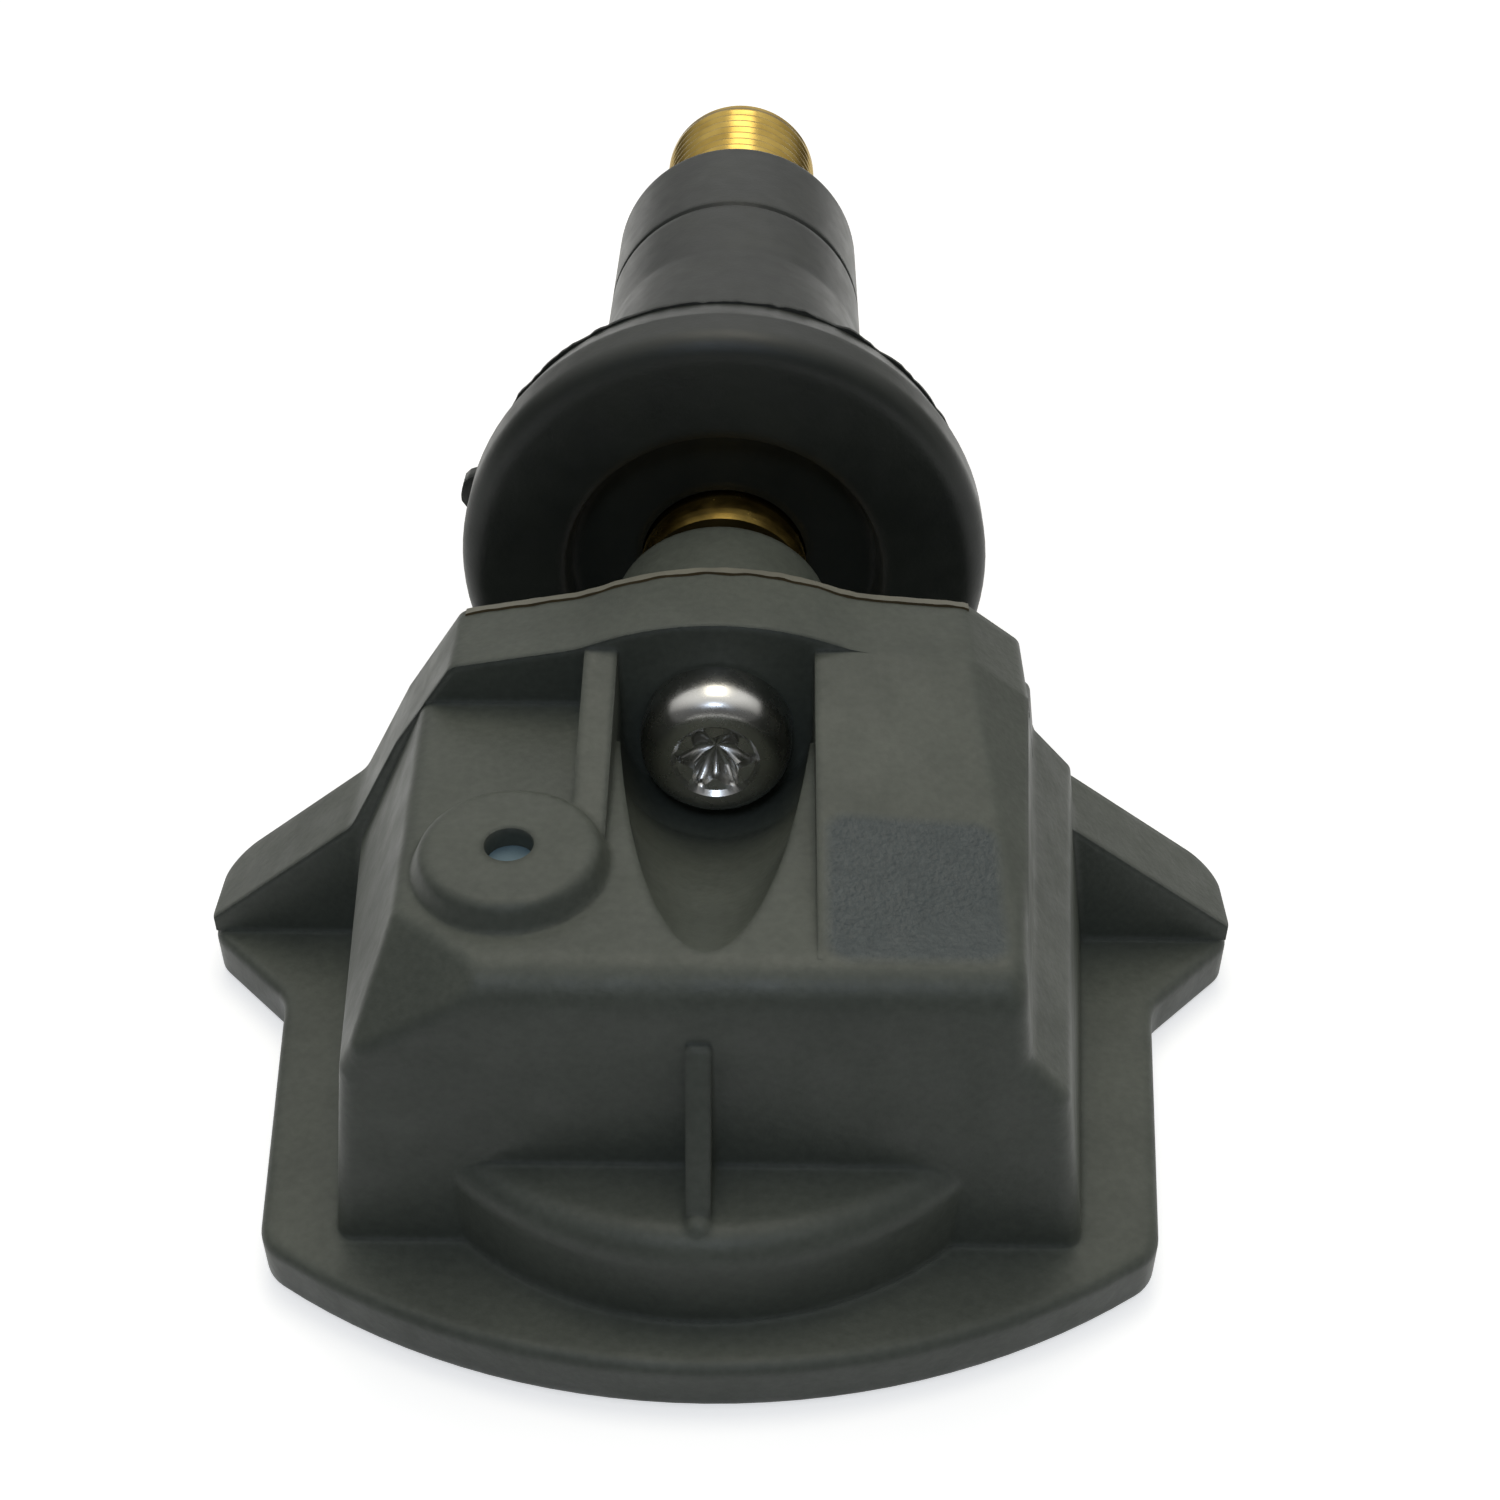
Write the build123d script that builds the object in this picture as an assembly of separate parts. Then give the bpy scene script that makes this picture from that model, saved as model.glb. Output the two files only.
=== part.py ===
from build123d import *
import math
import os

# Tyre pressure sensor on a snap-in rubber valve, in millimetres.
# Origin: on the valve's axis, in the middle of the groove that grips the wheel rim.
# +Y runs along the valve to its tip, +Z points up from the housing's flange plate.

# Rubber valve
neck_width = 3.8
neck_radius = 5.9
flange_radius = 10.0
flange_thickness = 4.6
flange_rounding = 0.8
flange_rear_radius = 9.3
flange_rim_width = 2.0
flange_rear_edge = 0.7
face_recess_radius = 5.8
face_recess_depth = 1.2
face_recess_flare = 0.3
bulge_radius = 6.5
bulge_rise = 0.9
bulge_length = 7.6
tube_radius = 5.75
rubber_end = 22.0
rubber_rounding = 0.5
ring_groove_at = 15.2
ring_groove = 0.4

# Brass stem
stem_base_radius = 3.17
stem_exposed = 3.9
stem_core_radius = 2.75
stem_tip = 32.75
cap_thread_radius = 3.85
cap_thread_chamfer = 0.5
thread_shoulder_taper = 5.0
air_passage_radius = 1.3
air_hole_radius = 0.6
stem_web = 0.6

# Housing
nose_radius = 4.0
nose_root_radius = 4.1
nose_length = 3.1
wall_thickness = 3.4
housing_length = 14.2
housing_half_width = 11.9
housing_spread = 1.6
housing_height = 10.8
front_lean = 0.75
front_edge = 1.5
soft_edge = 0.6
skin = 1.4
plate_thickness = 2.0
plate_depth = 9.9
plate_overhang = 4.7
plate_side_rear = 15.7
plate_side_front = 14.4
plate_side_end = 4.6
ear_reach = 19.0
ear_depth = 3.5
ear_cut = 3.3
ear_rounding = 1.2
plate_rounding = 1.6
plate_edge = 0.35

# Back wall outline, as steps in from the housing's half width and heights above the plate
gusset_tip_height = 0.6
gusset_root_left_step = -1.3
gusset_root_left_height = 5.2
wall_shoulder_left_step = 0.7
wall_shoulder_left_height = 9.0
wall_crown_left_step = 2.9
wall_crown_left_height = 12.3
gusset_root_right_step = -0.1
gusset_root_right_height = 5.9
wall_flank_right_step = 0.9
wall_flank_right_height = 8.5
wall_crown_right_step = 1.3
wall_crown_right_height = 11.2
wall_crown_setback = 2.0
wall_crown_fall = 0.35
wall_height = 13.1
wall_arch_half = 4.6
wall_arch_rise = 1.0
wall_arch_blend = 4.0
gusset_blend = 1.5
wall_corner = 0.6

# Upper edges of the box at its front, as insets from the foot and drops from the top
left_bevel_inset = 0.95
left_bevel_drop = 3.5
left_top_inset = 2.6
right_shoulder_inset = 0.95
right_shoulder_drop = 4.6
right_side_inset = 2.2
right_side_drop = 3.15
right_top_inset = 2.65
left_facet_side = 3.0
left_facet_front = 3.6

# Raised block, rib, boss and channel on top of the housing
block_length = 12.3
block_inset = 0.5
rib_thickness = 1.1
boss_setback = 8.3
boss_radius = 2.72
boss_draft = 0.4
boss_height = 0.85
boss_edge = 0.4
vent_radius = 0.77
channel_radius = 3.3
channel_length = 12.1
channel_end_radius = 1.6
channel_wall = 1.1

# Battery bulge in front of the housing
bulge_arc_radius = 11.5
bulge_reach = 3.0
bulge_height = 3.5
bulge_rounding = 1.0
fin_thickness = 0.75
fin_x = -0.2
fin_drop = 2.3
fin_foot = 2.0
fin_bead = 0.5

# Fixing screw
screw_radius = 1.5
screw_length = 7.5
screw_head_radius = 2.6
screw_head_height = 2.0
screw_dome = 1.1
screw_crown_radius = 1.2
screw_dome_bulge = 0.42
recess_lobe_circle = 1.4
recess_lobe_radius = 0.36
recess_core_radius = 1.08
recess_depth = 1.1
recess_lobes = 6

# Inside the housing
fit = 0.02
loose_fit = 0.12
potting_thickness = 0.8
wall_relief = 0.6
board_thickness = 0.8
board_margin = 0.3
chip_width = 3.0
chip_length = 4.0
chip_height = 1.4
seal_gap = 0.2
battery_radius = 8.0
battery_height = 3.2
battery_step = 0.6
tab_thickness = 0.15
tab_width = 3.0
coil_length = 8.0
coil_gap = 0.3
coil_height = 2.2
coil_flange = 1.1
coil_waist = 0.5
winding_inset = 0.12
crystal_width = 2.5
crystal_length = 3.2
crystal_height = 0.6
capacitor_width = 0.8
capacitor_length = 1.6
capacitor_height = 0.5
capacitor_count = 4
antenna_span = 15.0
antenna_width = 1.0
antenna_height = 0.55
antenna_strip = 0.25

# Valve core, as depths below the stem's tip
plug_top = 0.9
plug_length = 3.7
plug_radius = 2.5
plug_bore = 1.7
bridge_width = 1.5
bridge_height = 1.0
barrel_length = 5.9
barrel_radius = 1.85
barrel_bore = 1.25
barrel_ledge = 0.6
barrel_ledge_bore = 0.85
barrel_head_radius = 2.2
barrel_head = 0.8
core_seal_at = 7.4
core_seal_length = 1.0
core_seal_radius = 2.25
core_seal_end_radius = 1.95
core_room = 14.6
pin_top = 0.5
pin_radius = 0.5
pin_tail = 0.6
pin_collar_radius = 1.05
pin_collar = 0.4
spring_wire = 0.17
spring_wire_sides = 6
spring_turns = 6
cup_radius = 1.6
cup_length = 1.5
cup_seal = 0.4
cup_seal_radius = 1.45
seat_gap = 0.05

# Stations along the valve's axis
flange_seat_y = -neck_width / 2
flange_face_y = flange_seat_y - flange_thickness
recess_floor_y = flange_face_y + face_recess_depth
nose_end_y = recess_floor_y - stem_exposed
wall_rear_y = nose_end_y - nose_length
wall_front_y = wall_rear_y - wall_thickness
front_y = wall_front_y - housing_length
plate_front_y = front_y - plate_overhang
stem_base_y = wall_rear_y + loose_fit
thread_start_y = rubber_end
bulge_top_y = neck_width / 2 + bulge_rise

# Heights
plate_top_z = -plate_depth
plate_bottom_z = plate_top_z - plate_thickness
top_z = plate_top_z + housing_height
wall_top_z = plate_top_z + wall_height
bulge_top_z = plate_top_z + bulge_height
potting_top_z = plate_bottom_z + potting_thickness
battery_bottom_z = potting_top_z + tab_thickness
battery_top_z = battery_bottom_z + battery_height
ceiling_z = top_z - skin
channel_floor_z = -channel_radius - channel_wall
board_top_z = channel_floor_z - chip_height
board_bottom_z = board_top_z - board_thickness

# Half widths of the back wall
gusset_root_left = housing_half_width - gusset_root_left_step
wall_shoulder_left = housing_half_width - wall_shoulder_left_step
wall_crown_left = housing_half_width - wall_crown_left_step
gusset_root_right = housing_half_width - gusset_root_right_step
wall_flank_right = housing_half_width - wall_flank_right_step
wall_crown_right = housing_half_width - wall_crown_right_step
wall_ridge_right = wall_crown_right - wall_crown_setback

# Places inside the housing
cavity_half_width = housing_half_width - right_shoulder_inset - skin
cavity_front_y = front_y + skin
cavity_rear_y = wall_front_y + wall_relief
bulge_arc_y = front_y - bulge_reach + bulge_arc_radius
battery_y = bulge_arc_y - bulge_arc_radius + skin + loose_fit + battery_radius
room_inner = channel_radius + channel_wall
room_left = housing_half_width - left_top_inset - skin
room_right = housing_half_width - right_top_inset - skin
room_rear_y = wall_front_y - skin
boss_x = -(room_inner + room_left) / 2
boss_y = wall_front_y - boss_setback
seal_radius = (room_left - room_inner) / 2 - seal_gap
room_front_y = boss_y - seal_radius - board_margin
coil_x = (room_inner + room_right) / 2
coil_width = room_right - room_inner - 2 * coil_gap
pocket_y = wall_front_y - screw_head_height - 2 * fit
channel_end_y = wall_front_y - channel_length
cut_size = 2 * (housing_half_width + housing_length)


def block(x_range, y_range, z_range):
    """A square-edged block between two planes along each axis."""
    size = [high - low for low, high in (x_range, y_range, z_range)]
    middle = [(high + low) / 2 for low, high in (x_range, y_range, z_range)]
    return Pos(*middle) * Box(*size)


def rod(radius, rear_y, front, x=0.0, z=0.0):
    """A round rod along Y between two stations."""
    middle = Pos(x, (rear_y + front) / 2, z)
    return middle * Rot(90, 0, 0) * Cylinder(radius, abs(rear_y - front))


def turned(profile):
    """A solid turned about the valve's axis from (radius, y) points."""
    face = make_face(Polyline(*profile, close=True))
    return revolve(face, Axis.Y)


def turned_upright(profile, x, y):
    """A solid turned about an upright axis at (x, y) from (radius, z) points."""
    face = Plane.XZ * make_face(Polyline(*profile, close=True))
    return Pos(x, y, 0) * revolve(face, Axis.Z)


def across(outline, rear_y, front):
    """A prism along Y whose section is an outline of (x, z)."""
    plane = Plane(origin=(0, rear_y, 0), x_dir=(1, 0, 0), z_dir=(0, -1, 0))
    return extrude(plane * outline, rear_y - front)


def along(profile, x_low, x_high):
    """A prism along X whose section is a list of (y, z) points."""
    plane = Plane(origin=(x_low, 0, 0), x_dir=(0, 1, 0), z_dir=(1, 0, 0))
    return extrude(plane * make_face(Polyline(*profile, close=True)), x_high - x_low)


def above_plate(x, y, height):
    """A point given by its height above the flange plate."""
    return Vector(x, y, plate_top_z + height)


def beyond(first, second, third, inside):
    """The half space behind the plane through three points, away from a point inside."""
    normal = (second - first).cross(third - first)
    if normal.dot(inside - first) > 0:
        normal = -normal
    plane = Plane(origin=first, x_dir=second - first, z_dir=normal)
    return extrude(plane * Rectangle(2 * cut_size, 2 * cut_size), cut_size)


def rounded(face, corners, radius):
    """A flat face with some of its corners rounded."""
    chosen = [v for v in face.vertices() if any((Vector(v) - Vector(*c)).length < fit for c in corners)]
    return fillet(chosen, radius)


def between(low, high, height):
    """The place on a straight outline between two (place, height) points."""
    share = (height - low[1]) / (high[1] - low[1])
    return low[0] + share * (high[0] - low[0])


def wall_corner_at(low, high):
    """Where the box's top edge meets the wall, between two points of the wall's outline."""
    return above_plate(between(low, high, housing_height), wall_front_y, housing_height)


box_middle = above_plate(0, (wall_front_y + front_y) / 2, housing_height / 2)
left_top_rear = wall_corner_at(
    (-wall_shoulder_left, wall_shoulder_left_height), (-wall_crown_left, wall_crown_left_height)
)
right_top_rear = wall_corner_at(
    (wall_flank_right, wall_flank_right_height), (wall_crown_right, wall_crown_right_height)
)
right_top = above_plate(housing_half_width - right_top_inset, front_y, housing_height)
right_side = above_plate(
    housing_half_width - right_side_inset, front_y, housing_height - right_side_drop
)
beside_right = beyond(right_top, right_top_rear, right_side, box_middle)


def plate_outline():
    """The flange plate seen from above: ears at the rear, one wide arc in front."""
    side_y = front_y - plate_overhang + plate_side_end
    ear_y = wall_rear_y - ear_depth
    notch_y = ear_y - ear_cut
    left = [
        (-plate_side_front, side_y),
        (-plate_side_rear, notch_y),
        (-ear_reach, ear_y),
        (-ear_reach, wall_rear_y),
    ]
    right = [(-x, y) for x, y in reversed(left)]
    edge = Polyline(*left, *right)
    front = ThreePointArc(right[-1], (0, plate_front_y), left[0])
    face = make_face(edge + front)
    ears = [v for v in face.vertices() if abs(abs(v.X) - ear_reach) < 1e-6]
    face = fillet(ears, ear_rounding)
    notches = [v for v in face.vertices() if abs(abs(v.X) - plate_side_rear) < 1e-6]
    face = fillet(notches, plate_rounding)
    corners = [v for v in face.vertices() if abs(abs(v.X) - plate_side_front) < 1e-6]
    return fillet(corners, plate_rounding)


def wall_outline():
    """The transverse back wall seen from the front, with its gussets on the ears."""
    heights = [
        (-ear_reach, 0),
        (-ear_reach, gusset_tip_height),
        (-gusset_root_left, gusset_root_left_height),
        (-wall_shoulder_left, wall_shoulder_left_height),
        (-wall_crown_left, wall_crown_left_height),
        (-wall_arch_half, wall_height),
    ]
    falls = [
        (wall_arch_half, wall_height),
        (wall_ridge_right, wall_height - wall_crown_fall),
        (wall_crown_right, wall_crown_right_height),
        (wall_flank_right, wall_flank_right_height),
        (gusset_root_right, gusset_root_right_height),
        (ear_reach, gusset_tip_height),
        (ear_reach, 0),
    ]
    rising = [(x, plate_top_z + height) for x, height in heights]
    falling = [(x, plate_top_z + height) for x, height in falls]
    arch_top = (0, wall_top_z + wall_arch_rise)
    arch = ThreePointArc(rising[-1], arch_top, falling[0])
    edge = Polyline(*rising) + arch + Polyline(*falling) + Line(falling[-1], rising[0])
    face = make_face(edge)
    face = rounded(face, (rising[-1], falling[0]), wall_arch_blend)
    face = rounded(face, (rising[2], falling[4]), gusset_blend)
    return rounded(face, (rising[3], rising[4], falling[2]), wall_corner)


def housing_box():
    """The box in front of the wall, cut from a block by leaning planes and then softened."""
    half = housing_half_width
    rear_half = half + housing_spread
    lean_y = front_y + front_lean
    left_foot = above_plate(-half, front_y, 0)
    left_bevel = above_plate(left_bevel_inset - half, front_y, housing_height - left_bevel_drop)
    left_top = above_plate(left_top_inset - half, front_y, housing_height)
    right_foot = above_plate(half, front_y, 0)
    right_shoulder = above_plate(half - right_shoulder_inset, front_y, housing_height - right_shoulder_drop)
    right_flank = above_plate(wall_flank_right, wall_front_y, wall_flank_right_height)
    box = block(
        (-rear_half, rear_half), (front_y, wall_front_y + wall_thickness / 2), (plate_top_z, top_z)
    )
    box -= beyond(left_foot, above_plate(-rear_half, wall_front_y, 0), left_bevel, box_middle)
    box -= beyond(left_bevel, left_top, left_top_rear, box_middle)
    box -= beyond(right_foot, above_plate(rear_half, wall_front_y, 0), right_shoulder, box_middle)
    box -= beside_right & beyond(right_side, right_shoulder, right_flank, box_middle)
    box -= beyond(left_foot, right_foot, above_plate(0, lean_y, housing_height), box_middle)
    facet_side = above_plate(left_top_inset - half, lean_y + left_facet_side, housing_height)
    facet_front = above_plate(left_top_inset - half + left_facet_front, lean_y, housing_height)
    box -= beyond(facet_side, facet_front, left_bevel, box_middle)
    front_top = [e for e in box.edges() if e.center().Z > top_z - fit and e.center().Y < lean_y + fit]
    box = fillet(front_top, front_edge)
    sides = [e for e in box.edges() if abs(e.center().X) > channel_radius]
    soft = [e for e in sides if e.center().Z > plate_top_z + fit and e.center().Y < wall_front_y]
    return fillet(soft, soft_edge)


def wall_and_block(column):
    """The back wall and, level with its crown, the sloped block right of the channel."""
    wall = across(wall_outline(), wall_rear_y, wall_front_y) & column
    foot_y = wall_front_y - block_length
    inside = Vector(room_inner, (wall_front_y + foot_y) / 2, ceiling_z)
    inner_rear = above_plate(wall_arch_half, wall_front_y, wall_height)
    ridge_rear = above_plate(wall_ridge_right, wall_front_y, wall_height - wall_crown_fall)
    crown_corner = above_plate(wall_crown_right, wall_front_y, wall_crown_right_height)
    outer_front = above_plate(housing_half_width - right_top_inset - block_inset, foot_y, housing_height)
    body = block((channel_radius, wall_crown_right), (foot_y, wall_front_y), (ceiling_z, wall_top_z))
    body -= beyond(inner_rear, ridge_rear, Vector(channel_radius, foot_y, top_z), inside)
    body -= beyond(ridge_rear, crown_corner, outer_front, inside)
    body = wall + (body - beside_right)
    meeting = [e for e in body.edges() if e.distance_to(ridge_rear) < fit]
    ridge = [e for e in meeting if abs(e.center().Y - wall_front_y) > fit]
    return fillet(ridge, wall_corner)


def left_rib():
    """The rib left of the channel that falls from the wall to the foot of the boss."""
    profile = [
        (wall_front_y, wall_top_z),
        (boss_y, top_z),
        (boss_y, top_z - skin),
        (wall_front_y, top_z - skin),
    ]
    return along(profile, -channel_radius - rib_thickness, -channel_radius)


def battery_bulge():
    """The low crescent that makes room for the battery in front of the box."""
    drum = Pos(0, bulge_arc_y, plate_top_z + bulge_height / 2) * Cylinder(bulge_arc_radius, bulge_height)
    drum = fillet(drum.edges().group_by(Axis.Z)[-1], bulge_rounding)
    keep = block(
        (-housing_half_width, housing_half_width),
        (front_y - 2 * bulge_reach, front_y + skin),
        (plate_top_z, bulge_top_z),
    )
    fin_top_z = top_z - fin_drop
    fin_foot_y = front_y - fin_foot
    fin_profile = [
        (front_y + skin, fin_top_z),
        (front_y + front_lean / 2, fin_top_z),
        (fin_foot_y, bulge_top_z),
        (front_y + skin, bulge_top_z),
    ]
    fin = along(fin_profile, fin_x - fin_thickness / 2, fin_x + fin_thickness / 2)
    bead = Pos(fin_x, fin_foot_y, bulge_top_z - bulge_rounding / 4) * Sphere(fin_bead)
    return (drum & keep) + fin + bead


def cavity_outline(clearance):
    """The open underside of the housing, box and bulge together."""
    rear_y = cavity_rear_y - clearance
    ahead_y = cavity_front_y + clearance
    half = cavity_half_width - clearance
    box = Pos(0, (rear_y + ahead_y) / 2) * Rectangle(2 * half, rear_y - ahead_y)
    round_room = Pos(0, bulge_arc_y) * Circle(bulge_arc_radius - skin - clearance)
    ahead = Pos(0, ahead_y - bulge_arc_radius / 2) * Rectangle(2 * half, bulge_arc_radius + 2 * skin)
    return box + (round_room & ahead)


def cavity():
    """The room inside: board and battery below, two side rooms under the top."""
    battery_room = extrude(
        Pos(0, 0, plate_bottom_z) * cavity_outline(0), bulge_top_z - skin + loose_fit - plate_bottom_z
    )
    board_room = block(
        (-cavity_half_width, cavity_half_width),
        (cavity_front_y, cavity_rear_y),
        (plate_bottom_z, channel_floor_z),
    )
    side_rooms = [
        block(
            span,
            (room_front_y, room_rear_y),
            (channel_floor_z, ceiling_z),
        )
        for span in ((-room_left, -room_inner), (room_inner, room_right))
    ]
    return battery_room + board_room + side_rooms[0] + side_rooms[1]


def driver_channel():
    """The pocket for the screw head and the narrowing channel that rises out of it."""
    pocket = rod(channel_radius, wall_front_y, pocket_y)
    tall = wall_top_z + wall_arch_rise
    pocket += block((-channel_radius, channel_radius), (pocket_y, wall_front_y), (0, tall))
    start = Plane(origin=(0, pocket_y, 0), z_dir=(0, -1, 0)) * Circle(channel_radius)
    end_z = top_z + channel_end_radius
    end = Plane(origin=(0, channel_end_y, end_z), z_dir=(0, -1, 0)) * Circle(channel_end_radius)
    return pocket + loft([start, end], ruled=True)


def housing():
    """The moulded housing: plate, wall, box, block, rib, boss, bulge and nose in one."""
    foot = Pos(0, 0, plate_bottom_z) * plate_outline()
    plate = extrude(foot, plate_thickness)
    rims = plate.edges().group_by(Axis.Z)
    plate = fillet(rims[0] + rims[-1], plate_edge)
    column = extrude(foot, plate_thickness + wall_height + wall_arch_rise)
    boss_profile = [
        (0, top_z - skin / 2),
        (boss_radius + boss_draft, top_z - skin / 2),
        (boss_radius + boss_draft, top_z),
        (boss_radius, top_z + boss_height),
        (0, top_z + boss_height),
    ]
    boss_face = rounded(make_face(Polyline(*boss_profile, close=True)), boss_profile[3:4], boss_edge)
    boss = Pos(boss_x, boss_y, 0) * revolve(Plane.XZ * boss_face, Axis.Z)
    nose_profile = [
        (0, wall_rear_y - skin),
        (nose_root_radius, wall_rear_y - skin),
        (nose_root_radius, wall_rear_y),
        (nose_radius, nose_end_y),
        (0, nose_end_y),
    ]
    body = plate + wall_and_block(column) + housing_box() + left_rib() + battery_bulge()
    body = body + turned(nose_profile)
    body = body - driver_channel() + boss - cavity()
    vent = Pos(boss_x, boss_y, top_z) * Cylinder(vent_radius, 2 * housing_height)
    vent &= block((-ear_reach, ear_reach), (plate_front_y, 0), (ceiling_z - skin, wall_top_z))
    socket = rod(stem_base_radius + fit, wall_rear_y, nose_end_y)
    screw_hole = rod(screw_radius + loose_fit, wall_front_y, wall_rear_y)
    return body - vent - socket - screw_hole


def stem_envelope(gap):
    """The outside of the brass stem, grown by a gap all round."""
    flare_y = thread_start_y - thread_shoulder_taper
    neck_start_y = flange_seat_y - flange_thickness / 2
    profile = [
        (0, stem_base_y - gap),
        (stem_base_radius + gap, stem_base_y - gap),
        (stem_base_radius + gap, neck_start_y),
        (stem_core_radius + gap, neck_start_y + stem_base_radius - stem_core_radius),
        (stem_core_radius + gap, flare_y),
        (cap_thread_radius + gap, thread_start_y),
        (cap_thread_radius + gap, stem_tip - cap_thread_chamfer),
        (cap_thread_radius + gap - cap_thread_chamfer, stem_tip + gap),
        (0, stem_tip + gap),
    ]
    return turned(profile)


def core_chamber():
    """The bore in the stem's tip that takes the valve core."""
    seal_y = stem_tip - core_seal_at
    room_radius = core_seal_end_radius + fit * 2
    plug_floor_y = stem_tip - plug_top - plug_length
    profile = [
        (0, stem_tip),
        (plug_radius + fit, stem_tip),
        (plug_radius + fit, plug_floor_y),
        (core_seal_radius + 2 * fit, plug_floor_y),
        (core_seal_radius + 2 * fit, seal_y),
        (room_radius, seal_y - core_seal_length),
        (room_radius, stem_tip - core_room),
        (0, stem_tip - core_room),
    ]
    return turned(profile)


def valve_stem():
    """The turned brass stem: screw bore, cross hole, air passage and core chamber."""
    screw_end_y = wall_front_y + screw_length
    bore_end_y = screw_end_y + loose_fit
    passage_start_y = bore_end_y + stem_web
    hole_y = passage_start_y + 2 * air_hole_radius
    stem = stem_envelope(0) - core_chamber()
    stem -= rod(screw_radius + fit, stem_base_y, bore_end_y)
    stem -= rod(air_passage_radius, passage_start_y, stem_tip - core_room)
    cross_hole = Pos(0, hole_y, -nose_root_radius / 2) * Cylinder(air_hole_radius, nose_root_radius)
    return stem - cross_hole


def valve_rubber():
    """The snap-in rubber body, bonded round the stem."""
    taper_end_y = bulge_top_y + bulge_length
    groove_low = ring_groove_at - ring_groove / 2
    groove_high = ring_groove_at + ring_groove / 2
    face_edge = (flange_radius, flange_face_y)
    rear_edge = (flange_rear_radius, flange_seat_y)
    crest = (bulge_radius, bulge_top_y)
    lip = (tube_radius, rubber_end)
    profile = [
        (0, recess_floor_y),
        (face_recess_radius, recess_floor_y),
        (face_recess_radius + face_recess_flare, flange_face_y),
        face_edge,
        (flange_radius, flange_face_y + flange_rim_width),
        rear_edge,
        (neck_radius, flange_seat_y),
        (neck_radius, -flange_seat_y),
        crest,
        (tube_radius, taper_end_y),
        (tube_radius, groove_low),
        (tube_radius - ring_groove, ring_groove_at),
        (tube_radius, groove_high),
        lip,
        (0, rubber_end),
    ]
    face = make_face(Polyline(*profile, close=True))
    face = rounded(face, (face_edge,), flange_rounding)
    face = rounded(face, (rear_edge,), flange_rear_edge)
    face = rounded(face, (lip,), rubber_rounding)
    face = rounded(face, (crest,), bulge_rise)
    return revolve(face, Axis.Y) - stem_envelope(fit)


def fixing_screw():
    """The screw: domed head with a six-lobe recess, plain shank."""
    crown_y = wall_front_y - screw_head_height
    dome_y = crown_y + screw_dome
    rim = (screw_head_radius, dome_y)
    crown = (screw_crown_radius, crown_y)
    chord_middle = ((rim[0] + crown[0]) / 2, (rim[1] + crown[1]) / 2)
    dome_middle = (chord_middle[0] + screw_dome_bulge / 2, chord_middle[1] - screw_dome_bulge / 2)
    side = Polyline((0, crown_y), (0, wall_front_y), (screw_head_radius, wall_front_y), rim)
    head_face = make_face(side + ThreePointArc(rim, dome_middle, crown) + Line(crown, (0, crown_y)))
    head = revolve(head_face, Axis.Y)
    recess = rod(recess_core_radius, crown_y + recess_depth, crown_y)
    for lobe in range(recess_lobes):
        angle = 2 * math.pi * lobe / recess_lobes
        reach = recess_lobe_circle - recess_lobe_radius
        x = reach * math.cos(angle)
        z = reach * math.sin(angle)
        recess += rod(recess_lobe_radius, crown_y + recess_depth, crown_y - screw_dome, x, z)
    return head - recess + rod(screw_radius, wall_front_y, wall_front_y + screw_length)


def potting_fill():
    """The resin floor that closes the underside."""
    outline = Pos(0, 0, plate_bottom_z) * cavity_outline(fit)
    return extrude(outline, potting_thickness)


def circuit_board():
    """The board, held by its edges between the housing's walls."""
    return block(
        (-cavity_half_width + board_margin, cavity_half_width - board_margin),
        (cavity_front_y + board_margin, cavity_rear_y - board_margin),
        (board_bottom_z, board_top_z),
    )


def pressure_chip():
    """The pressure chip, under the vent boss, with its own port."""
    chip = block(
        (boss_x - chip_width / 2, boss_x + chip_width / 2),
        (boss_y - chip_length / 2, boss_y + chip_length / 2),
        (board_top_z, board_top_z + chip_height),
    )
    port = Pos(boss_x, boss_y, board_top_z + chip_height) * Cylinder(vent_radius, chip_height)
    return chip - port


def port_seal():
    """The soft tube between the chip's port and the vent."""
    low = board_top_z + chip_height
    high = ceiling_z
    middle = Pos(boss_x, boss_y, (low + high) / 2)
    return middle * Cylinder(seal_radius, high - low) - middle * Cylinder(vent_radius, high - low)


def lf_coil():
    """The receiver coil: a ferrite bobbin lying along Y and its winding."""
    middle_y = (room_front_y + room_rear_y) / 2
    rear_y = middle_y + coil_length / 2
    ahead_y = middle_y - coil_length / 2
    high = board_top_z + coil_height
    ends = [
        block((coil_x - coil_width / 2, coil_x + coil_width / 2), span, (board_top_z, high))
        for span in ((ahead_y, ahead_y + coil_flange), (rear_y - coil_flange, rear_y))
    ]
    waist_half = coil_width / 2 - coil_waist
    waist_z = (board_top_z + coil_waist, high - coil_waist)
    waist_x = (coil_x - waist_half, coil_x + waist_half)
    core = ends[0] + ends[1] + block(waist_x, (ahead_y, rear_y), waist_z)
    winding_y = (ahead_y + coil_flange + fit, rear_y - coil_flange - fit)
    winding_half = coil_width / 2 - winding_inset
    winding = block(
        (coil_x - winding_half, coil_x + winding_half),
        winding_y,
        (board_top_z + winding_inset, high - winding_inset),
    )
    through = block(
        (waist_x[0] - fit, waist_x[1] + fit),
        (ahead_y, rear_y),
        (waist_z[0] - fit, waist_z[1] + fit),
    )
    return core, winding - through


def crystal():
    """The timing crystal's flat can, in the middle of the board."""
    return block(
        (-crystal_width / 2, crystal_width / 2),
        (boss_y - crystal_length / 2, boss_y + crystal_length / 2),
        (board_top_z, board_top_z + crystal_height),
    )


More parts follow.
